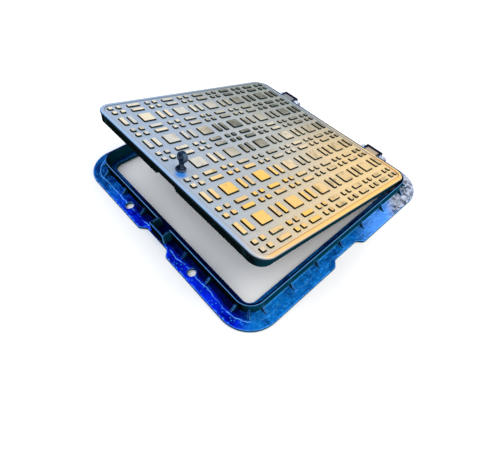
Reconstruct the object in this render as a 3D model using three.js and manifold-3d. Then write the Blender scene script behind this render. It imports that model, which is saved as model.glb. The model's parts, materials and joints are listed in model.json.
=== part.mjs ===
// Hinged square manhole cover and frame with a 600 mm nominal clear opening, cast in ductile iron.
// Millimetres, +Z up. The origin is under the middle of the frame, on the plane it is bedded on.
// X runs along the hinge, +Y points to the hinge side, -Y to the lifting side.
// Every piece is drawn with the cover shut; the cover's group then turns it open by OPEN_DEG.
import * as THREE from 'three';
import { mergeVertices } from 'three/addons/utils/BufferGeometryUtils.js';
import Module from 'manifold-3d';

const wasm = await Module();
wasm.setup();

// ---- driving dimensions ----
const CLEAR = 610; // clear opening, side to side
const COVER = 640; // cover, side to side
const FLANGE = 746; // frame at its foot, side to side
const HEIGHT = 45; // frame height, which is also the height of the tread's top
const OPEN_DEG = 15; // how far the cover stands open
const GAP = 0.3; // between pieces that rest on each other
const EPS = 1; // how far one shape runs into another before they are joined or cut

const FLANGE_R = 89;
const FLANGE_T = 8;
const NOTCH = { outer: 65, inner: 42, depth: 16, bow: 8, ease: 2 }; // the foot's four bays, half widths
const SEAT_TOP = 12;
const SEAT_DRAFT = 4.5; // the wall leans outward by this much from the seat to the rim
const SIDE_GAP = 2.5; // cover to rim, all round
const COVER_R = 38;
const RIM_T = 5.5;
const POCKET = { width: 60, reach: 26 }; // outside width, and how far the outer face stands past the rim
const HINGE_X = 184; // middle of each hinge pocket
const RIB = { t: 6, pitch: 95, foot: 22, top: 30 };
const ANCHOR = { r: 11, x: 142.5, y: 350 }; // fixing holes in the foot

const LIP_T = 4.5; // vertical edge of the cover's plate
const LIP_TOP = HEIGHT - 1.5;
const LIP_BAND = 11; // raised border round the tread
const CHAMFER = 3;
const PLATE_TOP = HEIGHT - 4;
const PLATE_T = 8;
const SKIRT_STEP = 1.5;
const SKIRT_DRAFT = 3;
const SKIRT_T = 8;
const WEB = { t: 7, at: 103, low: 17 }; // stiffening webs under the plate, two each way
const BAR_CUT = { width: 62, height: 9, depth: 14 }; // notch in the skirt for the tip of a pry bar

const TREAD = { cells: 11, pitch: 55.85, block: 36.5, small: 13, bar: 12.5 };
const EYE_CELL = { i: 5, j: 0 }; // the cell left plain for the lifting eye

const HINGE_Y = 337.5;
const HINGE_Z = 36.5;
const KNUCKLE = { r: 9, width: 40, hole: 5.4, root: 12, step: 0.5 };
const BOLT = { r: 5, hex: 17, head: 6.4, nut: 8, washerR: 9, washerT: 2, end: 5 };

const EYE = { x: 5, y: -280, r: 14, hole: 7, t: 13, rise: 31 };
const NECK = { r: 6, fillet: 2, into: 3 };
const COLLAR = { r: 13, t: 5.5, chamfer: 1.5 };
const STEM = { r: 6, hole: 6.5, boss: 17, bossLow: 27, washerR: 12, washerT: 2.5, hex: 19, nut: 12, tip: 1 };
const COTTER = { r: 1.4, hole: 1.9, head: 4.4, spread: 5, reach: 12, tail: 2.5, rise: 3 };
const SLOT = { width: 4, depth: 5 }; // in the castle nut's lower face

const COVER_HALF = COVER / 2;
const CLEAR_HALF = CLEAR / 2;
const FLANGE_HALF = FLANGE / 2;
const BORE_HALF = COVER_HALF + SIDE_GAP; // inner face of the rim
const BORE_R = COVER_R + SIDE_GAP;
const SEAT_HALF = BORE_HALF - SEAT_DRAFT; // inner face of the wall, down at the seat
const RIM_HALF = BORE_HALF + RIM_T; // outer face of the rim
const POCKET_OUT = RIM_HALF + POCKET.reach;
const ROUND = 32; // facets of a full circle

// ---- from three.js shapes to solids and back ----
function solid(geometry) {
  const bare = geometry.clone();
  bare.deleteAttribute('normal');
  bare.deleteAttribute('uv');
  const merged = mergeVertices(bare, 1e-5);
  const vertProperties = new Float32Array(merged.attributes.position.array);
  const triVerts = new Uint32Array(merged.index.array);
  return new wasm.Manifold(new wasm.Mesh({ numProp: 3, vertProperties, triVerts }));
}

function join(list) {
  return list.reduce((all, one) => all.add(one));
}

function cut(body, list) {
  return list.reduce((all, one) => all.subtract(one), body);
}

function block(x0, x1, y0, y1, z0, z1) {
  const box = new THREE.BoxGeometry(x1 - x0, y1 - y0, z1 - z0);
  return solid(box.translate((x0 + x1) / 2, (y0 + y1) / 2, (z0 + z1) / 2));
}

// A cylinder or, with six facets, a hexagon, along 'x', 'y' or 'z'.
function rod(axis, r, length, x, y, z, facets = ROUND) {
  const g = new THREE.CylinderGeometry(r, r, length, facets);
  if (axis === 'x') g.rotateZ(-Math.PI / 2);
  if (axis === 'z') g.rotateX(Math.PI / 2);
  return solid(g.translate(x, y, z));
}

function tube(axis, outer, inner, length, x, y, z) {
  return rod(axis, outer, length, x, y, z).subtract(rod(axis, inner, length + 2 * EPS, x, y, z));
}

function roundedSquare(half, radius) {
  const flat = half - radius;
  const shape = new THREE.Shape();
  shape.moveTo(half, -flat);
  shape.absarc(flat, flat, radius, 0, Math.PI / 2);
  shape.absarc(-flat, flat, radius, Math.PI / 2, Math.PI);
  shape.absarc(-flat, -flat, radius, Math.PI, 1.5 * Math.PI);
  shape.absarc(flat, -flat, radius, 1.5 * Math.PI, 2 * Math.PI);
  return shape;
}

// A rounded square slab whose side leans from the lower half width to the upper one.
function slab(halfLow, halfHigh, radiusHigh, z0, z1) {
  const radiusLow = Math.max(radiusHigh + halfLow - halfHigh, 2);
  const corners = ROUND / 4;
  const rings = [[halfLow, radiusLow, z0], [halfHigh, radiusHigh, z1]].map(([half, radius, z]) => {
    const points = [];
    for (let quarter = 0; quarter < 4; quarter += 1) {
      for (let k = 0; k <= corners; k += 1) {
        const a = (quarter + k / corners) * (Math.PI / 2);
        const sx = quarter === 0 || quarter === 3 ? 1 : -1;
        const sy = quarter < 2 ? 1 : -1;
        const flat = half - radius;
        points.push([sx * flat + radius * Math.cos(a), sy * flat + radius * Math.sin(a), z]);
      }
    }
    return points;
  });
  const n = rings[0].length;
  const position = rings.flat(2);
  const index = [];
  for (let k = 0; k < n; k += 1) {
    const next = (k + 1) % n;
    index.push(k, next, n + next, k, n + next, n + k);
  }
  for (let k = 1; k < n - 1; k += 1) {
    index.push(0, k + 1, k, n, n + k, n + k + 1);
  }
  const g = new THREE.BufferGeometry();
  g.setAttribute('position', new THREE.Float32BufferAttribute(position, 3));
  g.setIndex(index);
  return solid(g);
}

function straightSlab(half, radius, z0, z1) {
  return slab(half, half, radius, z0, z1);
}

// Extrudes an outline drawn in the plane across one side of the frame; turn picks the side.
function sideExtrude(shape, z0, z1, turn) {
  const g = new THREE.ExtrudeGeometry(shape, { depth: z1 - z0, bevelEnabled: false });
  return solid(g.translate(0, 0, z0).rotateZ(turn));
}

// ---- the frame ----
const SIDES = [0, 1, 2, 3].map((k) => k * (Math.PI / 2)); // -Y, +X, +Y and -X in turn

function footBay(turn) {
  const edge = -FLANGE_HALF;
  const s = new THREE.Shape();
  s.moveTo(-NOTCH.outer, edge - EPS);
  s.lineTo(NOTCH.outer, edge - EPS);
  s.lineTo(NOTCH.outer, edge);
  s.quadraticCurveTo(NOTCH.inner + NOTCH.bow, edge + NOTCH.ease, NOTCH.inner, edge + NOTCH.depth);
  s.lineTo(-NOTCH.inner, edge + NOTCH.depth);
  s.quadraticCurveTo(-NOTCH.inner - NOTCH.bow, edge + NOTCH.ease, -NOTCH.outer, edge);
  s.closePath();
  return sideExtrude(s, -EPS, FLANGE_T + EPS, turn);
}

// A gusset: a thin triangle standing on the foot, with its upright edge this far from the middle.
function gusset(wall, along, direction) {
  const s = new THREE.Shape();
  s.moveTo(wall - EPS, FLANGE_T - EPS);
  s.lineTo(wall + RIB.foot, FLANGE_T - EPS);
  s.lineTo(wall + RIB.foot, FLANGE_T);
  s.lineTo(wall, RIB.top);
  s.lineTo(wall - EPS, RIB.top);
  s.closePath();
  const g = new THREE.ExtrudeGeometry(s, { depth: RIB.t, bevelEnabled: false });
  return solid(g.translate(0, 0, -RIB.t / 2 - along).rotateX(Math.PI / 2).rotateZ(direction));
}

function hasPocket(side, place) {
  return side === 0 ? place === 0 : side === 2 && Math.abs(place) === 2;
}

function gussets() {
  const rimR = BORE_R + RIM_T;
  const corner = (RIM_HALF - rimR) * Math.SQRT2 + rimR; // out to the rim along the diagonal
  return SIDES.flatMap((turn, side) => {
    const places = [-3, -2, -1, 0, 1, 2, 3].filter((place) => !hasPocket(side, place));
    return [
      ...places.map((place) => gusset(RIM_HALF, place * RIB.pitch, turn - Math.PI / 2)),
      gusset(corner, 0, turn + Math.PI / 4),
    ];
  });
}

function pocketOuter(x, side) {
  const half = POCKET.width / 2;
  const y = [side * (RIM_HALF - EPS), side * POCKET_OUT].sort((a, b) => a - b);
  return block(x - half, x + half, y[0], y[1], EPS, HEIGHT);
}

function pocketInner(x, side) {
  const half = POCKET.width / 2 - RIM_T;
  const y = [side * (SEAT_HALF - EPS), side * (POCKET_OUT - RIM_T)].sort((a, b) => a - b);
  return block(x - half, x + half, y[0], y[1], SEAT_TOP, HEIGHT + EPS);
}

function frameSolid() {
  const lean = (SEAT_DRAFT * EPS) / (HEIGHT - SEAT_TOP);
  const holes = [-1, 1].flatMap((sx) => [-1, 1].map((sy) =>
    rod('z', ANCHOR.r, FLANGE_T + 4 * EPS, sx * ANCHOR.x, sy * ANCHOR.y, FLANGE_T / 2)));
  const body = join([
    cut(straightSlab(FLANGE_HALF, FLANGE_R, 0, FLANGE_T), SIDES.map(footBay)),
    straightSlab(RIM_HALF, BORE_R + RIM_T, FLANGE_T - EPS, HEIGHT),
    pocketOuter(0, -1),
    pocketOuter(-HINGE_X, 1),
    pocketOuter(HINGE_X, 1),
    ...gussets(),
  ]);
  return cut(body, [
    straightSlab(CLEAR_HALF, BORE_R - (BORE_HALF - CLEAR_HALF), -EPS, HEIGHT + EPS),
    slab(SEAT_HALF, BORE_HALF + lean, BORE_R + lean, SEAT_TOP, HEIGHT + EPS),
    pocketInner(0, -1),
    pocketInner(-HINGE_X, 1),
    pocketInner(HINGE_X, 1),
    rod('x', KNUCKLE.hole, COVER, 0, HINGE_Y, HINGE_Z),
    ...holes,
  ]);
}

// ---- the cover ----
const CELL_MID = (TREAD.cells - 1) / 2;

// Even columns and rows are split in two: small squares, bars either way and whole blocks take turns.
function cellBlocks(i, j) {
  if (i === EYE_CELL.i && j === EYE_CELL.j) return [];
  const x = (i - CELL_MID) * TREAD.pitch;
  const y = (j - CELL_MID) * TREAD.pitch;
  const b = TREAD.block / 2;
  const size = i % 2 === j % 2 ? TREAD.small : TREAD.bar;
  const pair = (mid) => [[mid - b, mid - b + size], [mid + b - size, mid + b]];
  const xs = i % 2 === 0 ? pair(x) : [[x - b, x + b]];
  const ys = j % 2 === 0 ? pair(y) : [[y - b, y + b]];
  return xs.flatMap(([x0, x1]) => ys.map(([y0, y1]) => block(x0, x1, y0, y1, PLATE_TOP - EPS, HEIGHT)));
}

function treadBlocks() {
  const cells = [];
  for (let i = 0; i < TREAD.cells; i += 1) {
    for (let j = 0; j < TREAD.cells; j += 1) cells.push(...cellBlocks(i, j));
  }
  return cells;
}

function webs() {
  const half = WEB.t / 2;
  const high = PLATE_TOP - PLATE_T + EPS;
  return [-WEB.at, WEB.at].flatMap((at) => [
    block(at - half, at + half, -COVER_HALF, COVER_HALF, WEB.low, high),
    block(-COVER_HALF, COVER_HALF, at - half, at + half, WEB.low, high),
  ]);
}

function knuckle(x) {
  const half = KNUCKLE.width / 2;
  const low = HINGE_Z - KNUCKLE.r + KNUCKLE.step;
  const arm = block(x - half, x + half, COVER_HALF - KNUCKLE.root, HINGE_Y, low, LIP_TOP - KNUCKLE.step);
  return arm.add(rod('x', KNUCKLE.r, KNUCKLE.width, x, HINGE_Y, HINGE_Z));
}

function coverSolid() {
  const low = SEAT_TOP + GAP;
  const lipLow = LIP_TOP - CHAMFER - LIP_T;
  const skirtHigh = COVER_HALF - SKIRT_STEP;
  const skirtLow = skirtHigh - SKIRT_DRAFT;
  const skirtR = COVER_R - SKIRT_STEP;
  const underside = PLATE_TOP - PLATE_T;
  const inner = SKIRT_T + EPS;
  const shell = join([
    slab(COVER_HALF, COVER_HALF - CHAMFER, COVER_R - CHAMFER, LIP_TOP - CHAMFER, LIP_TOP),
    straightSlab(COVER_HALF, COVER_R, lipLow, LIP_TOP - CHAMFER),
    slab(skirtLow, skirtHigh, skirtR, low, lipLow),
  ]);
  const hollowed = cut(shell, [
    straightSlab(COVER_HALF - LIP_BAND, COVER_R - LIP_BAND, PLATE_TOP, HEIGHT),
    slab(skirtLow - SKIRT_T, skirtHigh - inner, skirtR - inner, low - EPS, underside),
  ]);
  const inside = slab(skirtLow - EPS, skirtHigh - EPS, skirtR - EPS, low, underside + EPS);
  const bossT = underside - STEM.bossLow + EPS;
  const body = join([
    hollowed,
    join(webs()).intersect(inside),
    rod('z', STEM.boss, bossT, EYE.x, EYE.y, STEM.bossLow + bossT / 2),
    knuckle(-HINGE_X),
    knuckle(HINGE_X),
    ...treadBlocks(),
  ]);
  const cutHalf = BAR_CUT.width / 2;
  const edge = -COVER_HALF;
  return cut(body, [
    rod('x', KNUCKLE.hole, COVER, 0, HINGE_Y, HINGE_Z),
    rod('z', STEM.hole, HEIGHT, EYE.x, EYE.y, (HEIGHT + STEM.bossLow) / 2),
    block(-cutHalf, cutHalf, edge - EPS, edge + BAR_CUT.depth, 0, low + BAR_CUT.height),
  ]);
}

// ---- hinge bolts, washers and nuts ----
// A hexagon's radius to its corners, from its width across the flats.
function hexCorner(flats) {
  return flats / Math.sqrt(3);
}

function hingeHardware(x) {
  const left = x - POCKET.width / 2;
  const right = x + POCKET.width / 2;
  const headFace = left - 2 * GAP - BOLT.washerT;
  const nutFace = right + 2 * GAP + BOLT.washerT;
  const lockFace = nutFace + BOLT.nut + GAP;
  const end = lockFace + BOLT.nut + BOLT.end;
  const hex = (length, mid) => rod('x', hexCorner(BOLT.hex), length, mid, HINGE_Y, HINGE_Z, 6);
  const bore = (mid) => rod('x', BOLT.r + GAP, 3 * BOLT.nut, mid, HINGE_Y, HINGE_Z);
  const washer = (mid) => tube('x', BOLT.washerR, BOLT.r + GAP, BOLT.washerT, mid, HINGE_Y, HINGE_Z);
  const nut = (mid) => hex(BOLT.nut, mid).subtract(bore(mid));
  const shank = rod('x', BOLT.r, end - headFace + EPS, (end + headFace - EPS) / 2, HINGE_Y, HINGE_Z);
  return {
    bolt: hex(BOLT.head, headFace - BOLT.head / 2).add(shank),
    head_washer: washer(left - GAP - BOLT.washerT / 2),
    nut_washer: washer(right + GAP + BOLT.washerT / 2),
    nut: nut(nutFace + BOLT.nut / 2),
    lock_nut: nut(lockFace + BOLT.nut / 2),
  };
}

// ---- the lifting eye ----
const COLLAR_LOW = PLATE_TOP + GAP;
const EYE_Z = HEIGHT + EYE.rise;
const STEM_WASHER_TOP = STEM.bossLow - GAP;
const STEM_NUT_TOP = STEM_WASHER_TOP - STEM.washerT - GAP;
const STEM_NUT_LOW = STEM_NUT_TOP - STEM.nut;

function eyebolt() {
  const end = STEM_NUT_LOW - STEM.tip;
  const collarTop = COLLAR_LOW + COLLAR.t;
  const neckTop = EYE_Z - EYE.hole - NECK.into;
  const profile = [
    [0, end],
    [STEM.r - STEM.tip, end],
    [STEM.r, end + STEM.tip],
    [STEM.r, COLLAR_LOW],
    [COLLAR.r, COLLAR_LOW],
    [COLLAR.r, collarTop - COLLAR.chamfer],
    [COLLAR.r - COLLAR.chamfer, collarTop],
    [NECK.r + NECK.fillet, collarTop],
    [NECK.r, collarTop + NECK.fillet],
    [NECK.r, neckTop],
    [0, neckTop],
  ].map(([r, z]) => new THREE.Vector2(r, z));
  const post = solid(new THREE.LatheGeometry(profile, ROUND).rotateX(Math.PI / 2));
  const ring = tube('y', EYE.r, EYE.hole, EYE.t, 0, 0, EYE_Z);
  const pinHole = rod('x', COTTER.hole, 4 * STEM.r, 0, 0, STEM_NUT_LOW + COTTER.rise, 12);
  return post.add(ring).subtract(pinHole).translate(EYE.x, EYE.y, 0);
}

function stemWasher() {
  const mid = STEM_WASHER_TOP - STEM.washerT / 2;
  return tube('z', STEM.washerR, STEM.r + GAP, STEM.washerT, EYE.x, EYE.y, mid);
}

function castleNut() {
  const mid = (STEM_NUT_TOP + STEM_NUT_LOW) / 2;
  const hex = rod('z', hexCorner(STEM.hex), STEM.nut, EYE.x, EYE.y, mid, 6);
  const slot = new THREE.BoxGeometry(2 * STEM.hex, SLOT.width, SLOT.depth + EPS)
    .translate(0, 0, STEM_NUT_LOW + (SLOT.depth - EPS) / 2);
  const turned = [0, 1, 2].map((k) => slot.clone().rotateZ(k * (Math.PI / 3)));
  const slots = turned.map((one) => solid(one.translate(EYE.x, EYE.y, 0)));
  return cut(hex, [rod('z', STEM.r + GAP, 3 * STEM.nut, EYE.x, EYE.y, mid), ...slots]);
}

// The pin's loop stands clear of the nut on one side, its two ends open out on the other.
function splitPin() {
  const { r, reach, tail, head, spread } = COTTER;
  const leg = (s) => new THREE.CatmullRomCurve3([
    new THREE.Vector3(-reach, 0, 0),
    new THREE.Vector3(0, 0, 0),
    new THREE.Vector3(reach - r, 0, 0),
    new THREE.Vector3(reach + tail - r, (s * spread) / 2, 0),
    new THREE.Vector3(reach + tail, s * spread, 0),
  ]);
  const section = new THREE.Shape();
  section.absarc(0, 0, r, 0, 2 * Math.PI);
  const legs = [-1, 1].map((s) => solid(new THREE.ExtrudeGeometry(section, {
    steps: 16, curveSegments: 5, bevelEnabled: false, extrudePath: leg(s),
  })));
  const loop = solid(new THREE.TorusGeometry(head - r, r, 8, 18).translate(r - reach - head, 0, 0));
  return join([...legs, loop]).translate(EYE.x, EYE.y, STEM_NUT_LOW + COTTER.rise);
}

// ---- assembly ----
const iron = { color: 0x1a2f8f, roughness: 0.38, metalness: 0.35 };
const FINISH = {
  frame: iron,
  cover: { color: 0xb9b7ac, roughness: 0.45, metalness: 0.45 },
  steel: { color: 0x2a3140, roughness: 0.4, metalness: 0.9 },
};

function mesh(name, body, finish) {
  const out = body.getMesh();
  const g = new THREE.BufferGeometry();
  g.setAttribute('position', new THREE.BufferAttribute(new Float32Array(out.vertProperties), 3));
  g.setIndex(new THREE.BufferAttribute(new Uint32Array(out.triVerts), 1));
  g.computeVertexNormals();
  const m = new THREE.Mesh(g, new THREE.MeshStandardMaterial(FINISH[finish]));
  m.name = name;
  return m;
}

const group = new THREE.Group();
group.add(mesh('frame', frameSolid(), 'frame'));
for (const [side, x] of [['left', -HINGE_X], ['right', HINGE_X]]) {
  for (const [part, body] of Object.entries(hingeHardware(x))) {
    group.add(mesh(`hinge_${part}_${side}`, body, 'steel'));
  }
}

const opened = new THREE.Group();
opened.position.set(0, HINGE_Y, HINGE_Z);
opened.rotation.x = THREE.MathUtils.degToRad(-OPEN_DEG);
const shut = new THREE.Group();
shut.position.set(0, -HINGE_Y, -HINGE_Z);
shut.add(mesh('cover', coverSolid(), 'cover'));
shut.add(mesh('lifting_eyebolt', eyebolt(), 'steel'));
shut.add(mesh('eyebolt_washer', stemWasher(), 'steel'));
shut.add(mesh('eyebolt_castle_nut', castleNut(), 'steel'));
shut.add(mesh('eyebolt_split_pin', splitPin(), 'steel'));
opened.add(shut);
group.add(opened);

export default group;
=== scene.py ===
"""Hinged manhole cover and frame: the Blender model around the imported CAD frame.

Shapes are drawn in millimetres with the cover shut, as the foundry would, and then put in place in metres.
"""
import json
import math
import random

import bmesh
import bpy
import numpy as np
from mathutils import Matrix, Vector, geometry, noise


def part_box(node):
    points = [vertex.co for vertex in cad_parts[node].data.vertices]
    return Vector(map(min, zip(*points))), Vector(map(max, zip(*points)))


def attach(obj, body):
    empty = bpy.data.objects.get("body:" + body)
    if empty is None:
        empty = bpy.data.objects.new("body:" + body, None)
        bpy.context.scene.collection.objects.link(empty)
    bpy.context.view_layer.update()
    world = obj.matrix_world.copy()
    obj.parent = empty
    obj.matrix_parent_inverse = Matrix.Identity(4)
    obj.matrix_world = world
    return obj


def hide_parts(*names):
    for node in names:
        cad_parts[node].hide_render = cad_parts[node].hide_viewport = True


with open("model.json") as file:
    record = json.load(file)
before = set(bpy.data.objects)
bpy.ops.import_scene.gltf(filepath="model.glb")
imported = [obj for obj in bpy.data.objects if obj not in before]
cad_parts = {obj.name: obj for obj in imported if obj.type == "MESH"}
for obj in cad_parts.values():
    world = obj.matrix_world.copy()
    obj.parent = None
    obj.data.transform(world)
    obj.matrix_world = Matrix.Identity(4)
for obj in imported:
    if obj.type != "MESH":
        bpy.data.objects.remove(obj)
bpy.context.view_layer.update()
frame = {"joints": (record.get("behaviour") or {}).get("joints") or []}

MM = 0.001
RNG = random.Random(7)

# ---- sizes in millimetres, cover shut ----
COVER_HALF = 320.0
COVER_R = 38.0
TREAD_TOP = 45.0
PLATE_TOP = 41.0
PLATE_LOW = 33.0
LIP_TOP = 43.5
LIP_LOW = 36.0
BORDER = 11.0
SKIRT_STEP = 1.5
SKIRT_DRAFT = 3.0
SKIRT_T = 8.0
SKIRT_LOW = 12.3
BAR_CUT = 31.0
BAR_CUT_SLOPE = 9.0
BAR_CUT_TOP = 21.3
WEB_LOW = 17.0
WEB_T = 7.0
WEB_AT = 103.0
CELLS = 11
PITCH = 55.85
BLOCK = 36.5
SMALL = 13.0
BAR = 12.5
KNUCKLE_X = 184.0
KNUCKLE_HALF = 20.0
KNUCKLE_R = 9.0
BOLT_HOLE = 5.4
EYE_X, EYE_Y = 5.0, -280.0
STEM_HOLE = 6.5
BOSS_R = 17.0
BOSS_LOW = 27.0

# ---- where the pieces go ----
hinge = next(j for j in frame["joints"] if j["name"] == "cover_hinge")
HINGE = Vector(hinge["pos_m"])
OPENED = Matrix.Rotation(math.radians(-hinge["range_deg"][0]), 4, Vector(hinge["axis"]))
TO_REST = Matrix.Translation(HINGE) @ OPENED @ Matrix.Translation(-HINGE)


def on_plate(x, y):
    """Where a place on the plate lies at rest, in metres. It is given in millimetres, with the cover shut."""
    return TO_REST @ (Vector((x, y, PLATE_TOP)) * MM)


# Middles of the blue painted shadow of the eye, of the golden painted sun highlight on the tread, and of the
# tread's darker patch.
EYE_SHADOW = on_plate(20.0, -291.0)
TREAD_SUN_GLINT = on_plate(192.0, -160.0)
TREAD_DARK_PATCH = on_plate(-65.0, -22.0)


# ---- mesh building ----
# Marks: tone is how each block's top differs, and the seam; dark is coating, and painted shade in hollows;
# the last is painted highlight and wear on edges.
MARKS = ("tone", "dark", "wear_and_glint")


class Shell:
    """Points and faces in millimetres, gathered ring by ring, with marks that the materials read."""

    def __init__(self):
        self.points = []
        self.faces = []
        self.marks = {name: [] for name in MARKS}
        self.tone = 0.0

    def ring(self, points, dark=0.0, wear_and_glint=0.0):
        start = len(self.points)
        self.points.extend(points)
        for name, value in zip(MARKS, (self.tone, dark, wear_and_glint)):
            self.marks[name].extend(value if isinstance(value, list) else [value] * len(points))
        return list(range(start, len(self.points)))

    def bridge(self, a, b):
        n = len(a)
        for k in range(n):
            m = (k + 1) % n
            self.faces.append((a[k], a[m], b[m], b[k]))

    def tube(self, rings, dark=None, wear_and_glint=None, closed=False):
        none = [0.0] * len(rings)
        made = [self.ring(r, d, w) for r, d, w in zip(rings, dark or none, wear_and_glint or none)]
        for a, b in zip(made, made[1:]):
            self.bridge(a, b)
        if closed:
            self.bridge(made[-1], made[0])
        return made

    def cap(self, ring):
        self.faces.append(tuple(ring))

    def fill(self, outer, holes):
        """Fills the level area between an outer loop and the holes' loops."""
        loops = [outer, *holes]
        flat = [i for loop in loops for i in loop]
        where = {v: k for k, v in enumerate(flat)}
        co = [Vector(self.points[i][:2]) for i in flat]
        edges = [(where[loop[k - 1]], where[loop[k]]) for loop in loops for k in range(len(loop))]
        corners, _, triangles, source, _, _ = geometry.delaunay_2d_cdt(co, edges, [], 0, 1e-6)
        edge = [Vector(self.points[i][:2]) for i in outer]
        inner = [[Vector(self.points[i][:2]) for i in hole] for hole in holes]
        boxes = [(min(p.x for p in m), max(p.x for p in m), min(p.y for p in m), max(p.y for p in m))
                 for m in inner]
        for tri in triangles:
            c = sum((corners[i] for i in tri), Vector((0, 0))) / 3
            near = [m for m, b in zip(inner, boxes) if b[0] < c.x < b[1] and b[2] < c.y < b[3]]
            if inside(c, edge) and not any(inside(c, m) for m in near):
                self.faces.append(tuple(flat[source[i][0]] for i in tri))

    def mesh(self, name):
        """A mesh in metres with its doubled points merged and its faces turned outward."""
        mesh = bpy.data.meshes.new(name)
        mesh.from_pydata([tuple(c * MM for c in p) for p in self.points], [], self.faces)
        for mark, values in self.marks.items():
            mesh.attributes.new(mark, "FLOAT", "POINT").data.foreach_set("value", values)
        bm = bmesh.new()
        bm.from_mesh(mesh)
        bmesh.ops.remove_doubles(bm, verts=bm.verts, dist=2e-6)
        bmesh.ops.dissolve_degenerate(bm, edges=bm.edges, dist=2e-6)
        bmesh.ops.recalc_face_normals(bm, faces=bm.faces)
        bm.to_mesh(mesh)
        bm.free()
        return mesh


def inside(p, loop):
    hit = False
    for a, b in zip(loop, loop[1:] + loop[:1]):
        if (a.y > p.y) != (b.y > p.y) and p.x < (b.x - a.x) * (p.y - a.y) / (b.y - a.y) + a.x:
            hit = not hit
    return hit


def link(name, data):
    obj = bpy.data.objects.new(name, data)
    bpy.context.scene.collection.objects.link(obj)
    return obj


def place(name, mesh, body, nodes, material, matrix=None, sharp=38):
    """Puts a finished mesh on its body, in the place of the CAD nodes it stands for."""
    if matrix:
        mesh.transform(matrix)
    mesh.polygons.foreach_set("use_smooth", [True] * len(mesh.polygons))
    mesh.set_sharp_from_angle(angle=math.radians(sharp))
    mesh.materials.clear()
    mesh.materials.append(material)
    obj = link(name, mesh)
    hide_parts(*nodes)
    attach(obj, body)
    return obj


def recast(mesh, voxel, rounds, keep):
    """Fuses overlapping solids into one skin, rounds its edges and corners as casting does, and thins it."""
    obj = link("recast", mesh)
    remesh = obj.modifiers.new("skin", "REMESH")
    remesh.mode = "VOXEL"
    remesh.voxel_size = voxel * MM
    smooth = obj.modifiers.new("round", "SMOOTH")
    smooth.factor = 0.5
    smooth.iterations = rounds
    thin = obj.modifiers.new("thin", "DECIMATE")
    thin.ratio = keep
    made = bpy.data.meshes.new_from_object(obj.evaluated_get(bpy.context.evaluated_depsgraph_get()))
    bpy.data.objects.remove(obj)
    return made


def mark_edges(mesh, scale):
    """Marks outward edges with painted highlight and wear, and inward corners with painted shade, from how
    the surface bends at each point.
    """
    n = len(mesh.vertices)
    co = np.empty(n * 3)
    mesh.vertices.foreach_get("co", co)
    co = co.reshape(-1, 3)
    normal = np.empty(n * 3)
    mesh.vertex_normals.foreach_get("vector", normal)
    normal = normal.reshape(-1, 3)
    ends = np.empty(len(mesh.edges) * 2, dtype=np.int64)
    mesh.edges.foreach_get("vertices", ends)
    a, b = ends.reshape(-1, 2).T
    count = np.bincount(np.concatenate((a, b)), minlength=n)[:, None]

    def around(values):
        total = np.zeros_like(values)
        np.add.at(total, a, values[b])
        np.add.at(total, b, values[a])
        return total / np.maximum(count, 1)

    bend = ((co - around(co)) * normal).sum(1, keepdims=True) / (scale * MM)
    for _ in range(2):
        bend = (bend + around(bend)) / 2
    # Convex points get painted highlight and wear, concave points painted shade.
    for name, values in (("wear_and_glint", bend), ("dark", -bend)):
        layer = mesh.attributes.get(name) or mesh.attributes.new(name, "FLOAT", "POINT")
        layer.data.foreach_set("value", np.clip(values, 0, 1).ravel())


def rounded_rect(x, y, hx, hy, r, z, steps=3, radii=None):
    """Points round a rectangle, anticlockwise from its right side. radii gives each corner its own radius."""
    points = []
    for corner, (sx, sy) in enumerate(((1, 1), (-1, 1), (-1, -1), (1, -1))):
        cr = radii[corner] if radii else r
        for k in range(steps):
            a = math.radians(90 * corner + 90 * k / (steps - 1))
            points.append((x + sx * (hx - cr) + cr * math.cos(a), y + sy * (hy - cr) + cr * math.sin(a), z))
    return points


def circle(x, y, r, z, n=32):
    turns = [2 * math.pi * k / n for k in range(n)]
    return [(x + r * math.cos(a), y + r * math.sin(a), z) for a in turns]


# ---- materials ----
def srgb(r, g, b):
    """A colour as a screen shows it, 0 to 255, in Blender's linear values."""
    return (*(((c / 255 + 0.055) / 1.055) ** 2.4 if c > 10 else c / 255 / 12.92 for c in (r, g, b)), 1.0)


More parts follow.
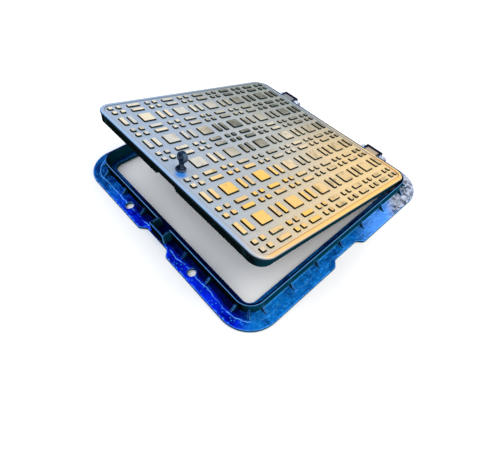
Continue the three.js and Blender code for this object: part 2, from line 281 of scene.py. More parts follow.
class Finish:
    """A material's node tree, built by short calls. Arguments are numbers, colours or sockets."""

    def __init__(self, name):
        self.material = bpy.data.materials.new(name)
        self.material.use_nodes = True
        self.tree = self.material.node_tree
        self.tree.nodes.clear()
        self.at = self.node("ShaderNodeTexCoord").outputs["Object"]
        self.x, self.y, self.z = self.node("ShaderNodeSeparateXYZ", {0: self.at}).outputs
        facing = self.node("ShaderNodeTexCoord").outputs["Normal"]
        self.nx, self.ny, self.nz = self.node("ShaderNodeSeparateXYZ", {0: facing}).outputs

    def node(self, kind, inputs=None, **settings):
        node = self.tree.nodes.new(kind)
        for key, value in settings.items():
            setattr(node, key, value)
        for key, value in (inputs or {}).items():
            if isinstance(value, bpy.types.NodeSocket):
                self.tree.links.new(value, node.inputs[key])
            else:
                node.inputs[key].default_value = value
        return node

    def math(self, operation, a, b=0.0, c=0.0):
        return self.node("ShaderNodeMath", {0: a, 1: b, 2: c}, operation=operation).outputs[0]

    def times(self, a, b):
        return self.math("MULTIPLY", a, b)

    def off(self, value, centre):
        """How far the value is from a centre, either way."""
        return self.math("ABSOLUTE", self.math("SUBTRACT", value, centre))

    def sum(self, *terms):
        """Adds up (factor, socket) pairs."""
        total = 0.0
        for factor, socket in terms:
            total = self.math("MULTIPLY_ADD", socket, factor, total)
        return total

    def step(self, value, low, high, to_low=0.0, to_high=1.0):
        """A soft step from to_low to to_high as the value goes from low to high."""
        ends = {0: value, 1: low, 2: high, 3: to_low, 4: to_high}
        return self.node("ShaderNodeMapRange", ends, interpolation_type="SMOOTHSTEP").outputs[0]

    def noise(self, scale, detail=3.0, roughness=0.55, distortion=0.0, at=None):
        inputs = {"Vector": at or self.at, "Scale": scale, "Detail": detail, "Roughness": roughness,
                  "Distortion": distortion}
        return self.node("ShaderNodeTexNoise", inputs).outputs["Fac"]

    def cells(self, scale, feature="F1", randomness=1.0, at=None):
        inputs = {"Vector": at or self.at, "Scale": scale, "Randomness": randomness}
        return self.node("ShaderNodeTexVoronoi", inputs, feature=feature).outputs["Distance"]

    def mark(self, name):
        return self.node("ShaderNodeAttribute", attribute_name=name).outputs["Fac"]

    def mix(self, factor, a, b):
        return self.node("ShaderNodeMix", {0: factor, 6: a, 7: b}, data_type="RGBA").outputs[2]

    def near(self, point, inner, outer):
        """1 within the inner distance of a point and 0 past the outer one."""
        ends = {0: self.at, 1: tuple(point)}
        far = self.node("ShaderNodeVectorMath", ends, operation="DISTANCE").outputs["Value"]
        return self.step(far, outer, inner)

    def bump(self, height, depth, under=None):
        inputs = {"Height": height, "Strength": 1.0, "Distance": depth * MM}
        if under:
            inputs["Normal"] = under
        return self.node("ShaderNodeBump", inputs).outputs[0]

    def done(self, colour, roughness, normal, metallic=0.0, specular=0.5):
        inputs = {"Base Color": colour, "Roughness": roughness, "Normal": normal, "Metallic": metallic}
        shader = self.node("ShaderNodeBsdfPrincipled", inputs)
        shader.inputs["Specular IOR Level"].default_value = specular
        self.node("ShaderNodeOutputMaterial", {0: shader.outputs[0]})
        return self.material


def cover_plate(f, drift, sun_reflection, shade, spots):
    """The tread's floor: painted sky reflection, pale blue, toward the lifting side, painted sun reflection,
    sandy, toward +X, and painted shade at the far -X corner.
    """
    # Painted sky reflection: pale blue toward the lifting side.
    sky_reflection = f.step(f.sum((0.6, f.x), (1.0, f.y), (0.12, drift)), 0.14, -0.30)
    plate = f.mix(sky_reflection, srgb(184, 186, 182), srgb(164, 180, 200))
    plate = f.mix(sun_reflection, plate, srgb(236, 206, 152))
    plate = f.mix(f.times(shade, 0.75), plate, srgb(146, 152, 146))
    return f.mix(f.step(spots, 0.60, 0.80, 0.0, 0.5), plate, srgb(122, 112, 92))


def block_tops(f, plate, tone, sun_reflection, shade, spots):
    """The blocks' tops: cream, with a golden painted sun highlight round one place, painted sandy sun
    reflection with stains toward +X, and painted shade toward the far -X corner with a darker patch in the
    middle.
    """
    # Sandy toward +X is painted sun reflection; the mottle there is stains.
    top = f.mix(sun_reflection, srgb(232, 220, 194), srgb(226, 194, 140))
    top = f.mix(f.times(sun_reflection, f.step(spots, 0.46, 0.58, 0.0, 0.6)), top, srgb(138, 128, 100))
    # A golden painted sun highlight round one place on the tread.
    top = f.mix(f.near(TREAD_SUN_GLINT, 0.09, 0.21), top, srgb(250, 200, 104))
    top = f.mix(f.step(tone, 0.2, 1.0, 0.0, 0.45), top, plate)
    # Painted shade toward the far -X corner, and a darker patch in the middle.
    shade_and_dark_patch = f.math("MAXIMUM", f.step(shade, 0.0, 0.9), f.near(TREAD_DARK_PATCH, 0.04, 0.17))
    top = f.mix(f.times(shade_and_dark_patch, f.step(spots, 0.30, 0.62, 0.75, 1.0)), top, srgb(98, 100, 92))
    return f.mix(f.step(spots, 0.54, 0.70, 0.0, 0.55), top, srgb(140, 122, 88))


def border_colour(f, colour, tone, wear_and_glint, sun_reflection):
    """A golden band of painted sun reflection along the +X side, painted highlights and wear on the outer
    edges, and the seam inside the border.
    """
    band_from = (COVER_HALF - BORDER) * MM
    # Painted sun reflection: a golden band on the +X border's top.
    sunlit_band = f.times(f.step(f.x, band_from - 0.0005, band_from + 0.0015), f.step(f.nz, 0.7, 0.9))
    colour = f.mix(f.times(sunlit_band, 0.75), colour, srgb(242, 190, 92))
    # Painted highlights on the rubbed outer edges, sky blue, and golden where the sun reflection is.
    edge = f.mix(sun_reflection, srgb(118, 158, 206), srgb(246, 208, 140))
    colour = f.mix(f.times(wear_and_glint, 0.75), colour, edge)
    seam = f.mix(f.step(f.x, 0.14, 0.27), srgb(126, 142, 160), srgb(186, 112, 30))
    return f.mix(f.step(tone, 0.0, -0.9, 0.0, 0.85), colour, seam)


def skirt_colour(f, wear_and_glint):
    """The coating on the skirt: black-green, painted teal on the side toward +X as lit, with painted glints
    that fade on the underside.
    """
    # The side toward +X is painted teal as lit; the flecks are painted glints.
    facing = f.step(f.nx, 0.2, 0.9)
    skirt_glints = f.step(f.noise(26.0, 5.0, 0.6, 0.6), 0.58, 0.72)
    skirt_glints = f.times(skirt_glints, f.step(f.nz, -0.6, -0.2, 0.15, 1.0))
    skirt = f.mix(facing, srgb(6, 14, 15), srgb(10, 48, 58))
    skirt = f.mix(f.times(skirt_glints, f.math("MULTIPLY_ADD", facing, 0.5, 0.5)), skirt, srgb(44, 92, 96))
    # Painted highlights and wear on the skirt's edges.
    return f.mix(f.times(wear_and_glint, 0.55), skirt, srgb(110, 140, 170))


def cover_iron():
    """Bare worn iron on the plate and the blocks with painted sky and sun reflections, painted shade and a
    painted shadow of the eye; coated iron wherever the dark mark is, with painted shade at the blocks' feet;
    dull knuckles.
    """
    f = Finish("cover_iron")
    drift = f.noise(5.0, 2.0)
    # Painted sun reflection toward +X, and painted shade toward the far -X corner.
    sun_reflection = f.step(f.sum((1.0, f.x), (0.62, f.y), (0.16, drift)), 0.10, 0.42)
    shade = f.step(f.sum((-0.8, f.x), (1.0, f.y), (0.10, drift)), 0.10, 0.50)
    spots = f.noise(38.0, 6.0, 0.62, 0.3)
    grain = f.noise(420.0, 3.0, 0.6)
    tone, dark, wear_and_glint = (f.mark(name) for name in MARKS)

    plate = cover_plate(f, drift, sun_reflection, shade, spots)
    top = block_tops(f, plate, tone, sun_reflection, shade, spots)
    colour = f.mix(f.step(tone, 0.02, 0.08), plate, top)
    colour = f.mix(f.step(grain, 0.35, 0.75, 0.0, 0.22), colour, srgb(96, 96, 92))
    # A blue painted shadow of the eye, on the plate beside it.
    colour = f.mix(f.times(f.near(EYE_SHADOW, 0.005, 0.021), 0.92), colour, srgb(24, 124, 214))
    colour = border_colour(f, colour, tone, wear_and_glint, sun_reflection)
    colour = f.mix(dark, colour, skirt_colour(f, wear_and_glint))
    past_border = (COVER_HALF + 3.5) * MM
    knuckle = f.times(f.step(f.y, past_border, past_border + 0.001), f.step(dark, 0.5, 0.1))
    colour = f.mix(knuckle, colour, srgb(120, 122, 142))

    rough = f.step(grain, 0.2, 0.8, 0.32, 0.55)
    normal = f.bump(f.noise(90.0, 3.0), 0.5)
    normal = f.bump(grain, 0.12, normal)
    return f.done(colour, rough, normal, f.step(dark, 0.5, 0.0, 0.0, 0.3), specular=0.0)


def past_wall(f):
    """Distance out from where the frame's corners start to curve, so that it follows the rounded square."""
    past_x = f.math("MAXIMUM", f.math("SUBTRACT", f.math("ABSOLUTE", f.x), FRAME_FLAT * MM), 0.0)
    past_y = f.math("MAXIMUM", f.math("SUBTRACT", f.math("ABSOLUTE", f.y), FRAME_FLAT * MM), 0.0)
    return f.math("SQRT", f.sum((past_x, past_x), (past_y, past_y)))


def foot_colour(f, out, blotch, pits):
    """Painted sky reflection on the foot: azure with painted glints in its pits, violet-blue with a dark
    inner part on the lifting side, a painted reflection along a crease all round that is strongest there, and
    an ashen corner with a light blue patch beside it."""
    # The blue is painted sky reflection.
    front = f.times(f.step(f.sum((-1.0, f.y), (-1.0, f.x)), -0.02, 0.05), f.step(f.x, -0.27, -0.10))
    foot = f.mix(f.step(blotch, 0.34, 0.66), srgb(2, 44, 112), srgb(10, 106, 190))
    lively = f.mix(f.step(blotch, 0.32, 0.66), srgb(2, 6, 140), srgb(8, 40, 236))
    foot = f.mix(front, foot, lively)
    # Painted glints in the hammered pits.
    foot = f.mix(f.step(pits, 0.30, 0.10, 0.0, 0.75), foot, srgb(44, 150, 226))

    # Painted reflection along a crease all round.
    wander = f.sum((1.0, out), (0.022, f.noise(17.0, 3.0, 0.6)))
    foot = f.mix(f.times(front, f.step(wander, 0.081, 0.067, 0.0, 0.92)), foot, srgb(2, 5, 26))
    thin = f.step(f.off(wander, 0.079), 0.0017, 0.0004)
    line = f.times(thin, f.step(f.noise(24.0, 2.0), 0.42, 0.54, 0.0, 0.9))
    foot = f.mix(f.times(line, f.step(f.y, -0.28, -0.33, 0.25, 1.0)), foot, srgb(96, 176, 255))

    patch = f.times(f.step(f.sum((0.62, f.x), (0.78, f.y)), 0.25, 0.33), f.step(f.x, 0.30, 0.34))
    foot = f.mix(patch, foot, srgb(84, 156, 255))
    pale = f.times(f.step(f.sum((0.7, f.x), (0.7, f.y)), 0.375, 0.415), f.step(f.x, 0.26, 0.31))
    ash = f.mix(f.step(f.noise(60.0, 5.0, 0.7), 0.40, 0.60), srgb(70, 78, 96), srgb(196, 204, 222))
    return f.mix(pale, foot, ash)


def wall_colour(f, right):
    """Upright faces: near black, painted teal toward +X as lit, with duller clouds."""
    wall = f.mix(right, srgb(4, 7, 12), srgb(4, 62, 78))
    return f.mix(f.step(f.noise(22.0, 5.0, 0.65), 0.56, 0.78, 0.0, 0.6), wall, srgb(14, 56, 62))


def frame_edges(f, colour, out, right):
    """A navy rim with a painted highlight line along it, painted highlights and wear on outward edges, dull
    hinge pockets, and painted shade in the hollows but for a painted highlight on the joint at the foot of
    the +X wall."""
    wear_and_glint, dark = f.mark("wear_and_glint"), f.mark("dark")
    rim_z = RIM_TOP * MM
    rim = f.times(f.step(f.z, rim_z - 0.0018, rim_z - 0.0004), f.step(f.nz, 0.2, 0.7))
    colour = f.mix(rim, colour, srgb(3, 10, 40))
    # Painted shade in the hollows, with a painted highlight on the joint at the foot of the +X wall.
    joint = f.mix(f.step(f.x, 0.324, 0.328), srgb(2, 6, 18), srgb(70, 158, 200))
    colour = f.mix(f.times(dark, 0.75), colour, joint)
    plain_rim = f.times(rim, f.step(out, 0.0480, 0.0465))
    # Painted highlights on outward edges.
    glint = f.mix(right, srgb(70, 140, 226), srgb(96, 168, 206))
    bright = f.math("SUBTRACT", f.step(wear_and_glint, 0.22, 0.6), plain_rim)
    colour = f.mix(f.times(bright, 0.85), colour, glint)
    back = f.times(f.step(f.y, 0.33, 0.335), f.step(f.z, 0.012, 0.02))
    colour = f.mix(back, colour, srgb(30, 34, 56))
    # A painted highlight line along the rim.
    on_line = f.step(f.off(out, (BORE_R + RIM_T - 1.2) * MM), 0.0013, 0.0005)
    line = f.times(on_line, f.step(f.z, rim_z - 0.004, rim_z - 0.002))
    return f.mix(f.times(line, 0.8), colour, srgb(96, 160, 222))


def frame_iron():
    """Coating over rough iron: vivid blue on the foot as painted sky reflection on level faces, near black on
    upright faces.

    Level faces have a slight metal sheen. Upright ones have no gloss, or they would mirror the pale floor."""
    f = Finish("frame_iron")
    # Level faces get the painted sky reflection; faces toward +X are painted teal as lit.
    level = f.step(f.nz, 0.45, 0.85)
    right = f.step(f.nx, 0.3, 0.9)
    blotch = f.noise(16.0, 4.0, 0.6, 0.5)
    pits = f.cells(110.0)
    out = past_wall(f)
    colour = f.mix(level, wall_colour(f, right), foot_colour(f, out, blotch, pits))
    colour = frame_edges(f, colour, out, right)

    rough = f.step(blotch, 0.3, 0.7, 0.22, 0.42)
    normal = f.bump(f.noise(70.0, 4.0, 0.6), 1.2)
    normal = f.bump(pits, 0.5, normal)
    return f.done(colour, rough, normal, f.times(level, 0.35), specular=0.0)


def hinge_steel():
    """Zinc-plated steel, dulled and stained, with painted shade in bores and grooves and painted highlights
    on edges.
    """
    f = Finish("hinge_steel")
    cloud = f.noise(240.0, 4.0, 0.6)
    colour = f.mix(f.step(cloud, 0.35, 0.70), srgb(168, 178, 196), srgb(58, 62, 78))
    # Painted shade in bores and grooves, painted highlights on edges.
    colour = f.mix(f.mark("dark"), colour, srgb(16, 18, 26))
    colour = f.mix(f.mark("wear_and_glint"), colour, srgb(226, 236, 248))
    rough = f.step(cloud, 0.3, 0.7, 0.25, 0.5)
    return f.done(colour, rough, f.bump(f.noise(900.0, 2.0), 0.05), metallic=0.85)


def eye_steel():
    """Blue-black coated forging, painted lighter on the side toward +X, with painted highlights on its edges
    and painted shade in its hollows.
    """
    f = Finish("eye_steel")
    cloud = f.noise(130.0, 4.0, 0.6)
    # The side toward +X is painted lighter as lit.
    side = f.times(f.step(f.nx, 0.1, 0.8), f.step(f.nz, -0.5, 0.3))
    colour = f.mix(f.step(cloud, 0.35, 0.70), srgb(4, 6, 22), srgb(14, 20, 48))
    colour = f.mix(f.times(side, 0.5), colour, srgb(104, 124, 142))
    # Painted highlights on edges, painted shade in hollows.
    colour = f.mix(f.times(f.mark("wear_and_glint"), 0.28), colour, srgb(96, 150, 204))
    colour = f.mix(f.times(f.mark("dark"), 0.8), colour, srgb(4, 5, 14))
    rough = f.step(cloud, 0.3, 0.7, 0.22, 0.42)
    return f.done(colour, rough, f.bump(f.noise(500.0, 3.0), 0.12), metallic=0.25, specular=0.0)


# ---- the cover casting ----
def cover_stations():
    """Places round the cover's edge: the point, the outward direction, and how much of the notch is cut."""
    flat = COVER_HALF - COVER_R
    stations = []
    for side in range(4):
        turn = Matrix.Rotation(math.radians(90 * side), 2)
        along = [(-flat, 0)]
        if side == 0:
            slope = ((1, 0), (0.8, 0.08), (0.2, 0.92), (0, 1))
            ends = [(BAR_CUT + part * BAR_CUT_SLOPE, cut) for part, cut in slope]
            along += [(-x, cut) for x, cut in ends] + [(0, 1)] + ends[::-1]
        else:
            along += [(0, 0)]
        for x, cut in along:
            stations.append((turn @ Vector((x, -COVER_HALF)), turn @ Vector((0, -1)), cut))
        for k in range(14):
            a = math.radians(-90 + 90 * k / 14)
            n = Vector((math.cos(a), math.sin(a)))
            stations.append((turn @ (Vector((flat, -flat)) + COVER_R * n), turn @ n, 0))
    return stations


def cover_profile(cut):
    """(inset from the edge, height, dark coating, painted highlight and wear) from the tread's floor, over
    the border, down the skirt and up inside. cut goes from 0, the full skirt, to 1, the pry notch's full
    depth."""
    low = SKIRT_LOW + (BAR_CUT_TOP - SKIRT_LOW) * cut

    def skirt(z):
        return SKIRT_STEP + SKIRT_DRAFT * (LIP_LOW - z) / (LIP_LOW - SKIRT_LOW)

    inner = skirt(low) + SKIRT_T
    return [
        (BORDER + 2.6, PLATE_TOP, 0.0, 0.0),
        (BORDER + 1.8, PLATE_TOP + 0.02, 0.0, 0.0),
        (BORDER + 0.25, PLATE_TOP + 0.25, 0.0, 0.0),
        (BORDER, PLATE_TOP + 0.9, 0.0, 0.0),
        (BORDER - 0.3, LIP_TOP - 0.7, 0.0, 0.0),
        (BORDER - 0.6, LIP_TOP - 0.2, 0.0, 0.3),
        (BORDER - 1.2, LIP_TOP, 0.0, 0.3),
        (4.6, LIP_TOP, 0.0, 0.1),
        (3.4, LIP_TOP - 0.3, 0.0, 0.6),
        (2.0, LIP_TOP - 1.1, 0.0, 1.0),
        (0.9, LIP_TOP - 2.1, 0.3, 1.0),
        (0.3, LIP_TOP - 3.0, 0.9, 0.4),
        (0.0, LIP_TOP - 3.9, 1.0, 0.0),
        (0.0, LIP_LOW + 0.9, 1.0, 0.0),
        (0.15, LIP_LOW + 0.3, 1.0, 0.7),
        (0.6, LIP_LOW, 1.0, 0.7),
        (SKIRT_STEP, LIP_LOW - 0.1, 1.0, 0.0),
        (skirt(LIP_LOW - 1.4) + 0.1, LIP_LOW - 1.4, 1.0, 0.0),
        (skirt(low + 1.6), low + 1.6, 1.0, 0.0),
        (skirt(low + 0.5) + 0.35, low + 0.45, 1.0, 0.3),
        (skirt(low) + 1.4, low, 1.0, 0.2),
        (inner - 1.4, low, 1.0, 0.0),
        (inner - 0.3, low + 0.4, 1.0, 0.0),
        (inner, low + 1.3, 1.0, 0.0),
        (inner + 0.2, max(WEB_LOW - 0.6, low + 1.3), 1.0, 0.0),
        (inner + 1.0, WEB_LOW, 1.0, 0.0),
    ]


def block_loop(shell, x0, x1, y0, y1):
    """One raised block: a small fillet at its foot, drafted sides, rounded top edges. Returns its foot loop.

    The upper fillet and the drafted sides are dark coating all round. The fillet's foot and the top edge are
    painted dark as shade on the sides toward -Y and +X. The tone mark starts at the second ring, so that the
    plate round the block has none."""
    x, y = (x0 + x1) / 2 + RNG.uniform(-0.12, 0.12), (y0 + y1) / 2 + RNG.uniform(-0.12, 0.12)
    hx, hy = (x1 - x0) / 2, (y1 - y0) / 2
    top = TREAD_TOP - RNG.uniform(0.0, 0.25)
    tone = RNG.uniform(0.1, 1.0)
    steps = (
        (1.7, PLATE_TOP), (1.1, PLATE_TOP + 0.03), (0.4, PLATE_TOP + 0.3), (0.05, PLATE_TOP + 0.9),
        (-0.3, top - 0.8), (-0.6, top - 0.35), (-1.1, top - 0.08), (-1.7, top),
    )
    # Painted shade at the fillet's foot and the top edge on the sides toward -Y and +X; the rest is dark
    # coating.
    coated_and_shaded = (0.0, 1.0, 1.0, 1.0, 1.0, 1.0, 0.25, 0.0)
    rings = []
    for k, (grow, z) in enumerate(steps):
        points = rounded_rect(x, y, hx + grow, hy + grow, max(2.0 + grow, 0.3), z)
        shaded_side = [p[1] < y - hy + 1.5 or p[0] > x + hx - 1.5 for p in points]
        dark = [coated_and_shaded[k] if low or 1 < k < 6 else 0.0 for low in shaded_side]
        rings.append(shell.ring(points, dark))
        if k == 0:
            shell.tone = tone
    shell.tone = 0.0
    for a, b in zip(rings, rings[1:]):
        shell.bridge(a, b)
    shell.cap(rings[-1])
    return rings[0]


def tread_rects():
    """Every block of the tread: small squares, bars both ways and big squares, none by the lifting eye."""
    middle = (CELLS - 1) / 2
    half = BLOCK / 2
    for i in range(CELLS):
        for j in range(CELLS):
            if (i, j) == (middle, 0):
                continue
            x, y = (i - middle) * PITCH, (j - middle) * PITCH
            size = SMALL if i % 2 == j % 2 else BAR
            xs = [(x - half, x - half + size), (x + half - size, x + half)]
            ys = [(y - half, y - half + size), (y + half - size, y + half)]
            if i % 2:
                xs = [(x - half, x + half)]
            if j % 2:
                ys = [(y - half, y + half)]
            for x0, x1 in xs:
                for y0, y1 in ys:
                    yield x0, x1, y0, y1


def underside(shell, edge):
    """Webs under the plate: the level they reach to, with a drafted pocket sunk between each pair."""
    reach = COVER_HALF - SKIRT_STEP - SKIRT_DRAFT - SKIRT_T - 3.0
    half = WEB_T / 2
    spans = [(-reach, -WEB_AT - half), (-WEB_AT + half, WEB_AT - half), (WEB_AT + half, reach)]
    last = len(spans) - 1
    feet = []
    hole = None
    for i, (x0, x1) in enumerate(spans):
        for j, (y0, y1) in enumerate(spans):
            x, y, hx, hy = (x0 + x1) / 2, (y0 + y1) / 2, (x1 - x0) / 2, (y1 - y0) / 2
            outer = [(i, j) == corner for corner in ((last, last), (0, last), (0, 0), (last, 0))]
            rings = []
            for grow, z in ((0.0, WEB_LOW), (-0.5, WEB_LOW + 0.25), (-0.9, WEB_LOW + 1.2),
                            (-2.0, PLATE_LOW - 3.4), (-2.6, PLATE_LOW - 1.5), (-3.8, PLATE_LOW - 0.4),
                            (-5.6, PLATE_LOW)):
                radii = [(23.0 if o else 8.0) + grow for o in outer]
                rings.append(rounded_rect(x, y, hx + grow, hy + grow, 8.0, z, 6, radii))
            made = shell.tube(rings, [1.0] * len(rings))
            feet.append(made[0])
            if x0 < EYE_X < x1 and y0 < EYE_Y < y1:
                boss = shell.tube([circle(EYE_X, EYE_Y, r, z) for r, z in (
                    (BOSS_R + 1.0, PLATE_LOW), (BOSS_R + 0.4, PLATE_LOW - 0.4), (BOSS_R, PLATE_LOW - 1.2),
                    (BOSS_R - 0.2, BOSS_LOW + 0.8), (BOSS_R - 0.9, BOSS_LOW), (STEM_HOLE, BOSS_LOW),
                    (STEM_HOLE, PLATE_TOP))], [1.0] * 6 + [0.0])
                shell.fill(made[-1], [boss[0]])
                hole = boss[-1]
            else:
                shell.cap(made[-1])
    shell.fill(edge, feet)
    return hole


def knuckles(shell):
    """The two arms that reach into the frame's hinge pockets, each with an eye round its bolt."""
    y, z = HINGE.y / MM, HINGE.z / MM
    low, high = z - KNUCKLE_R + 0.5, LIP_TOP - 0.5
    root = COVER_HALF - 9.0
    outline = [(root, low)]
    sweep = [math.radians(-90) + k * (math.pi + 0.35) / 18 for k in range(19)]
    outline += [(y + KNUCKLE_R * math.cos(a), z + KNUCKLE_R * math.sin(a)) for a in sweep]
    outline += [(y - 8.0, high + 0.6), (y - 13.0, high), (root, high)]
    middle = Vector((sum(p[0] for p in outline) / len(outline), sum(p[1] for p in outline) / len(outline)))
    n = len(outline)
    for centre in (-KNUCKLE_X, KNUCKLE_X):
        rings = []
        for side, shrink in ((-1.0, 1.2), (-0.985, 0.5), (-0.94, 0.0), (0.94, 0.0), (0.985, 0.5), (1.0, 1.2)):
            loop = []
            for k in range(n):
                p = Vector(outline[k])
                before, after = Vector(outline[k - 1]), Vector(outline[(k + 1) % n])
                t = (after - before).normalized()
                q = p + shrink * Vector((-t.y, t.x))
                loop.append((centre + side * KNUCKLE_HALF, q.x, q.y))
            rings.append(loop)
        made = shell.tube(rings, [0.35] * len(rings))
        bore = [[(centre + s * KNUCKLE_HALF, y + BOLT_HOLE * math.cos(2 * math.pi * k / 24),
                  z + BOLT_HOLE * math.sin(2 * math.pi * k / 24)) for k in range(24)] for s in (-1.0, 1.0)]
        holes = shell.tube(bore, [1.0, 1.0])
        for outer, hole in ((made[0], holes[0]), (made[-1], holes[1])):
            fill_across(shell, outer, hole)


def fill_across(shell, outer, hole):
    """fill() for a face that stands across X."""
    kept = shell.points
    shell.points = [(p[1], p[2], p[0]) for p in kept]
    shell.fill(outer, [hole])
    shell.points = kept


# How strongly the first rings inside the border show the seam. It is kept as a negative tone.
SEAM = (0.0, 0.8, 1.0, 1.0, 0.9, 0.2)


def cover_piece():
    """The whole cover casting, drawn shut and opened to rest."""
    shell = Shell()
    stations = cover_stations()
    rings = []
    profiles = {cut: cover_profile(cut) for _, _, cut in stations}
    for level in range(len(profiles[0])):
        ring = []
        for edge, out, cut in stations:
            inset, z, _, _ = profiles[cut][level]
            p = edge - inset * out
            ring.append((p.x, p.y, z))
        rings.append(ring)
    made = shell.tube(rings, [p[2] for p in profiles[0]], [p[3] for p in profiles[0]])
    for ring, seam in zip(made, SEAM):
        for i in ring:
            shell.marks["tone"][i] = -seam
    feet = [block_loop(shell, *rect) for rect in tread_rects()]
    hole = underside(shell, made[-1])
    shell.fill(made[0], [*feet, hole])
    knuckles(shell)
    mesh = shell.mesh("cover_casting")
    place("cover_casting", mesh, "cover", ["cover"], cover_iron(), TO_REST)


# ---- the frame casting ----
FLANGE_HALF = 373.0
FLANGE_R = 89.0
FOOT_T = 8.0
BAY_OUTER, BAY_INNER, BAY_DEPTH = 65.0, 42.0, 16.0
CLEAR_HALF = 305.0
SEAT_TOP = 12.0
SEAT_HALF = 318.0
BORE_HALF = 322.5
BORE_R = 40.5
RIM_T = 5.5
FRAME_FLAT = ((BORE_HALF - BORE_R) + (FLANGE_HALF - FLANGE_R)) / 2
RIM_TOP = 45.0
POCKET_HALF = 30.0
POCKET_REACH = 26.0
RIB_T, RIB_PITCH, RIB_FOOT, RIB_TOP = 6.0, 95.0, 22.0, 30.0
ANCHOR_R, ANCHOR_X, ANCHOR_Y = 11.0, 142.5, 350.0
POCKETS = {0: [0.0], 2: [-KNUCKLE_X, KNUCKLE_X]}


def turned(side, x, y):
    """A point of the -Y side, moved round to another side."""
    return (Matrix.Rotation(math.radians(90 * side), 2) @ Vector((x, y)))[:]


def side_loop(half, radius, z, along, arc=20):
    """A rounded square loop. along(side) gives the points that lie between a side's two corners."""
    loop = []
    flat = half - radius
    for side in range(4):
        loop += [(*turned(side, x, y), z) for x, y in [(-flat, -half), *along(side)]]
        for k in range(arc):
            a = math.radians(-90 + 90 * k / arc)
            loop.append((*turned(side, flat + radius * math.cos(a), -flat + radius * math.sin(a)), z))
    return loop


def foot_loop(inset, z):
    """The foot's outline, with a bay in the middle of each side that opens out in a curve."""
    half = FLANGE_HALF - inset

    def bay(side):
        curve = []
        for k in range(9):
            t = k / 8
            x = BAY_OUTER + (BAY_INNER - BAY_OUTER) * t
            curve.append((-x, -half + BAY_DEPTH * t * t * (3 - 2 * t)))
        return curve + [(-x, y) for x, y in reversed(curve)]

    return side_loop(half, FLANGE_R - inset, z, bay)


def wall_loop(half, radius, pocket_half, pocket_y, z):
    """A face of the wall, stepping out round each pocket."""

    def steps(side):
        points = []
        for x in POCKETS.get(side, []):
            points += [(x - pocket_half, -half), (x - pocket_half, -pocket_y), (x + pocket_half, -pocket_y),
                       (x + pocket_half, -half)]
        return points

    return side_loop(half, radius, z, steps)


def gusset(shell, reach, along, turn):
    """A tapering rib between the wall and the foot. It runs into both, so that they become one skin."""
    bite = 2.5
    outline = [(reach - bite, FOOT_T - bite), (reach + RIB_FOOT, FOOT_T - bite),
               (reach + RIB_FOOT, FOOT_T + 0.6), (reach + RIB_FOOT * 0.45, FOOT_T + 10.0),
               (reach, RIB_TOP), (reach - bite, RIB_TOP)]
    rings = []
    for side in (-RIB_T / 2, RIB_T / 2):
        rings.append([(*(turn @ Vector((u, along + side))), z) for u, z in outline])
    made = shell.tube(rings)
    shell.cap(made[0])
    shell.cap(made[1])


def foot_texture(mesh):
    """The rough, hammered upper face of the foot, as it comes from the sand."""
    n = len(mesh.vertices)
    co = np.empty(n * 3)
    mesh.vertices.foreach_get("co", co)
    co = co.reshape(-1, 3)
    normal = np.empty(n * 3)
    mesh.vertex_normals.foreach_get("vector", normal)
    top = (normal.reshape(-1, 3)[:, 2] > 0.8) & (np.abs(co[:, 2] - FOOT_T * MM) < 1.2 * MM)
    for k in np.flatnonzero(top):
        p = Vector(co[k])
        co[k, 2] += 0.42 * MM * (noise.fractal(p * 60, 0.7, 2.1, 3) + 0.5 * noise.noise(p * 190))
    mesh.vertices.foreach_set("co", co.ravel())
    mesh.update()


